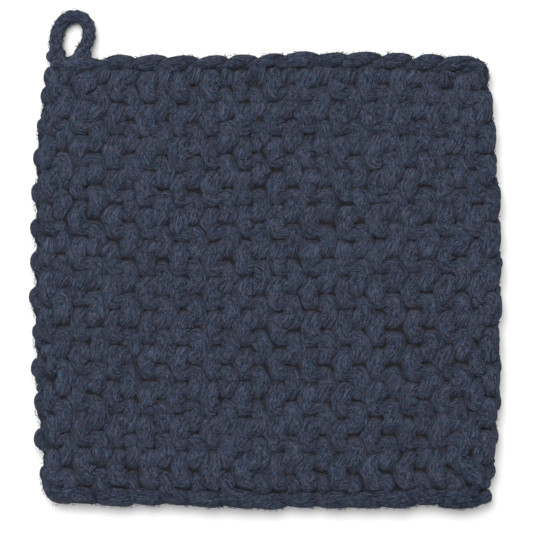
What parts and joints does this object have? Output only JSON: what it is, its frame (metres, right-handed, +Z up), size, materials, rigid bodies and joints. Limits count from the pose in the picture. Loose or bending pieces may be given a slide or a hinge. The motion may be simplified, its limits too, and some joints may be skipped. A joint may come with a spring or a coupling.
{
  "type": "pot holder",
  "caption": "Square thick knitted cotton pot holder in ridged garter stitch, with edge stitches all round and a cord loop at one corner to hang it by.",
  "frame": {"origin": "middle of the underside of the whole object, loop included, on the surface that it lies on", "axes": "+Z up out of the face that shows, +Y along the ridges towards the edge with the loop, +X across the ridges"},
  "size_m": [0.2064, 0.2196, 0.012],
  "materials": {
    "navy_cotton": "matte thick soft cotton yarn",
    "navy_cord": "matte crocheted cotton cord"
  },
  "bodies": {
    "root": {"knitted_square": "navy_cotton", "hanging_loop": "navy_cord"}
  },
  "joints": []
}
